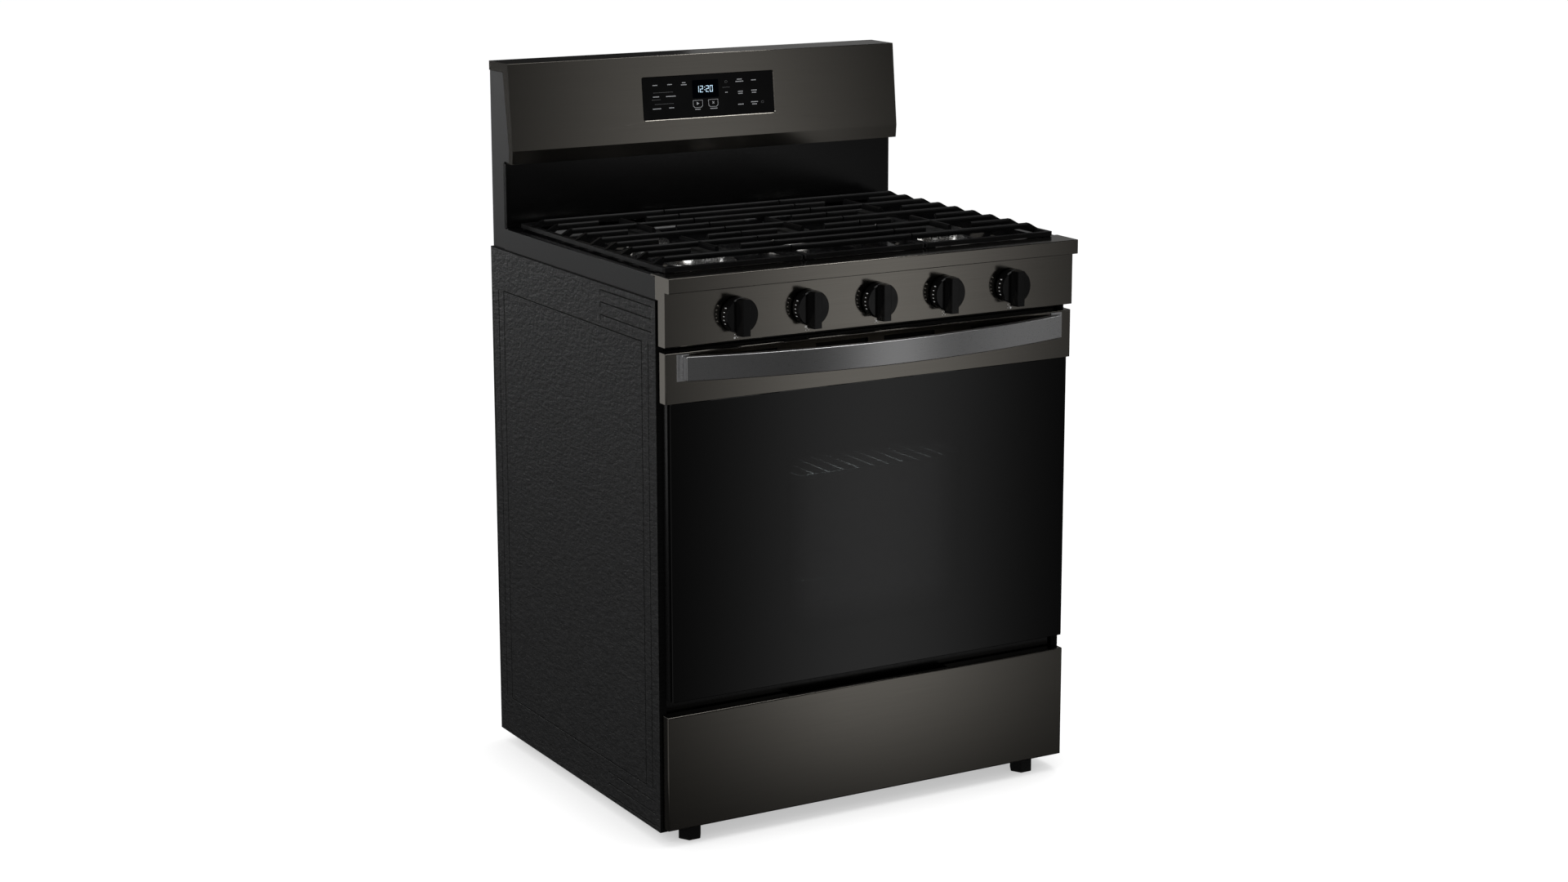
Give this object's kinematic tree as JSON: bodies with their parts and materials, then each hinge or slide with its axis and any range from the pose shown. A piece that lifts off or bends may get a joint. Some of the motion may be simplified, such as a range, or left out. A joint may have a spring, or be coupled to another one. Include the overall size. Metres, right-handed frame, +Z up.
{
  "type": "freestanding gas range",
  "caption": "Freestanding gas range with slanted backguard and display, continuous cast-iron grates, front knobs, bowed-handle glass oven door and storage drawer.",
  "frame": {"origin": "on the floor, at the centre of the footprint (handle front to rear of body)", "axes": "+Z up, -Y out of the front towards the user, +X to the right of a person facing the range"},
  "size_m": [0.7588, 0.692, 1.1904],
  "materials": {
    "black_stainless": "fine brushed black stainless with a clear coat",
    "handle_metal": "polished dark steel",
    "charcoal_paint": "pebbled charcoal paint",
    "charcoal_smooth": "smooth charcoal paint",
    "black_paint": "gloss black enamel paint",
    "galvanized": "zinc coated sheet",
    "steel": "plain steel",
    "woven_seal": "woven glass fibre",
    "glass_wool": "glass wool",
    "oven_enamel": "dark speckled porcelain enamel",
    "cooktop_enamel": "gloss black porcelain enamel",
    "cap_enamel": "satin black porcelain enamel",
    "cast_iron": "matte enamelled cast iron",
    "cast_aluminium": "as-cast aluminium",
    "tube_aluminium": "drawn tube",
    "aluminised_steel": "aluminised steel",
    "chrome_wire": "bright plated wire",
    "brass": "turned brass",
    "ceramic_white": "unglazed ceramic",
    "clear_glass": "clear",
    "black_glass": "back-printed black glass",
    "board_plastic": "green board with black parts",
    "black_plastic": "moulded",
    "knob_black": "gloss black"
  },
  "bodies": {
    "body": {"side_panel_left": "charcoal_paint", "side_panel_right": "charcoal_paint", "cooktop_side_trims": "charcoal_smooth", "backguard_rear_cover": "charcoal_smooth", "back_panel": "galvanized", "base_frame": "galvanized", "front_frame": "black_paint", "door_gasket": "woven_seal", "oven_liner": "oven_enamel", "oven_floor_panel": "oven_enamel", "insulation": "glass_wool", "oven_racks": "chrome_wire", "oven_burners": "aluminised_steel", "igniters": "ceramic_white", "oven_lamp": "clear_glass", "temperature_sensor": "steel", "fan_cover": "oven_enamel", "fan_motor": "galvanized", "cooktop": "cooktop_enamel", "burner_heads": "cast_aluminium", "burner_caps": "cap_enamel", "control_panel": "black_stainless", "gas_valves": "brass", "gas_tubes": "tube_aluminium", "pressure_regulator": "cast_aluminium", "backguard_front": "black_stainless", "backsplash_panel": "black_paint", "display_glass": "black_glass", "control_board": "board_plastic", "hinge_arms": "steel", "drawer_rails": "galvanized", "screws": "steel", "cord_gland": "black_plastic"},
    "door": {"door_trim_band": "black_stainless", "door_glass": "black_glass", "door_frame": "black_paint", "door_inner_panel": "oven_enamel", "door_windows": "clear_glass", "door_handle": "handle_metal", "hinge_casings": "steel"},
    "drawer": {"drawer_front": "black_stainless", "drawer_box": "galvanized"},
    "fan": {"convection_fan": "steel"},
    "grate_left_section": {"grate_left": "cast_iron"},
    "grate_center_section": {"grate_center": "cast_iron"},
    "grate_right_section": {"grate_right": "cast_iron"},
    "stem_body_1": {"valve_stem_1": "steel"},
    "knob_body_1": {"knob_1": "knob_black"},
    "stem_body_2": {"valve_stem_2": "steel"},
    "knob_body_2": {"knob_2": "knob_black"},
    "stem_body_3": {"valve_stem_3": "steel"},
    "knob_body_3": {"knob_3": "knob_black"},
    "stem_body_4": {"valve_stem_4": "steel"},
    "knob_body_4": {"knob_4": "knob_black"},
    "stem_body_5": {"valve_stem_5": "steel"},
    "knob_body_5": {"knob_5": "knob_black"},
    "foot_front_left": {"leg_front_left": "black_plastic"},
    "foot_front_right": {"leg_front_right": "black_plastic"},
    "foot_rear_left": {"leg_rear_left": "black_plastic"},
    "foot_rear_right": {"leg_rear_right": "black_plastic"}
  },
  "joints": [
    {"name": "door_hinge", "type": "hinge", "parent": "body", "child": "door", "pos_m": [0, -0.268, 0.25], "axis": [1, 0, 0], "range_deg": [0, 90]},
    {"name": "drawer_slide", "type": "slide", "parent": "body", "child": "drawer", "axis": [0, -1, 0], "range_m": [0, 0.4]},
    {"name": "fan_spin", "type": "hinge", "parent": "body", "child": "fan", "pos_m": [0, 0.24, 0.505], "axis": [0, 1, 0], "continuous": true},
    {"name": "grate_left_lift", "type": "slide", "parent": "body", "child": "grate_left_section", "axis": [0, 0, 1], "range_m": [0, 0.05]},
    {"name": "grate_center_lift", "type": "slide", "parent": "body", "child": "grate_center_section", "axis": [0, 0, 1], "range_m": [0, 0.05]},
    {"name": "grate_right_lift", "type": "slide", "parent": "body", "child": "grate_right_section", "axis": [0, 0, 1], "range_m": [0, 0.05]},
    {"name": "knob_1_push", "type": "slide", "parent": "body", "child": "stem_body_1", "axis": [0, 1, 0], "range_m": [0, 0.003], "stiffness_N_per_m": 800, "springref_m": -0.002},
    {"name": "knob_1_turn", "type": "hinge", "parent": "stem_body_1", "child": "knob_body_1", "pos_m": [-0.253, -0.3, 0.8488], "axis": [0, -1, 0], "range_deg": [0, 210]},
    {"name": "knob_2_push", "type": "slide", "parent": "body", "child": "stem_body_2", "axis": [0, 1, 0], "range_m": [0, 0.003], "stiffness_N_per_m": 800, "springref_m": -0.002},
    {"name": "knob_2_turn", "type": "hinge", "parent": "stem_body_2", "child": "knob_body_2", "pos_m": [-0.1265, -0.3, 0.8488], "axis": [0, -1, 0], "range_deg": [0, 210]},
    {"name": "knob_3_push", "type": "slide", "parent": "body", "child": "stem_body_3", "axis": [0, 1, 0], "range_m": [0, 0.003], "stiffness_N_per_m": 800, "springref_m": -0.002},
    {"name": "knob_3_turn", "type": "hinge", "parent": "stem_body_3", "child": "knob_body_3", "pos_m": [0, -0.3, 0.8488], "axis": [0, -1, 0], "range_deg": [0, 210]},
    {"name": "knob_4_push", "type": "slide", "parent": "body", "child": "stem_body_4", "axis": [0, 1, 0], "range_m": [0, 0.003], "stiffness_N_per_m": 800, "springref_m": -0.002},
    {"name": "knob_4_turn", "type": "hinge", "parent": "stem_body_4", "child": "knob_body_4", "pos_m": [0.1265, -0.3, 0.8488], "axis": [0, -1, 0], "range_deg": [0, 210]},
    {"name": "knob_5_push", "type": "slide", "parent": "body", "child": "stem_body_5", "axis": [0, 1, 0], "range_m": [0, 0.003], "stiffness_N_per_m": 800, "springref_m": -0.002},
    {"name": "knob_5_turn", "type": "hinge", "parent": "stem_body_5", "child": "knob_body_5", "pos_m": [0.253, -0.3, 0.8488], "axis": [0, -1, 0], "range_deg": [0, 210]},
    {"name": "leg_front_left_height", "type": "slide", "parent": "body", "child": "foot_front_left", "axis": [0, 0, -1], "range_m": [0, 0.02]},
    {"name": "leg_front_right_height", "type": "slide", "parent": "body", "child": "foot_front_right", "axis": [0, 0, -1], "range_m": [0, 0.02]},
    {"name": "leg_rear_left_height", "type": "slide", "parent": "body", "child": "foot_rear_left", "axis": [0, 0, -1], "range_m": [0, 0.02]},
    {"name": "leg_rear_right_height", "type": "slide", "parent": "body", "child": "foot_rear_right", "axis": [0, 0, -1], "range_m": [0, 0.02]}
  ]
}
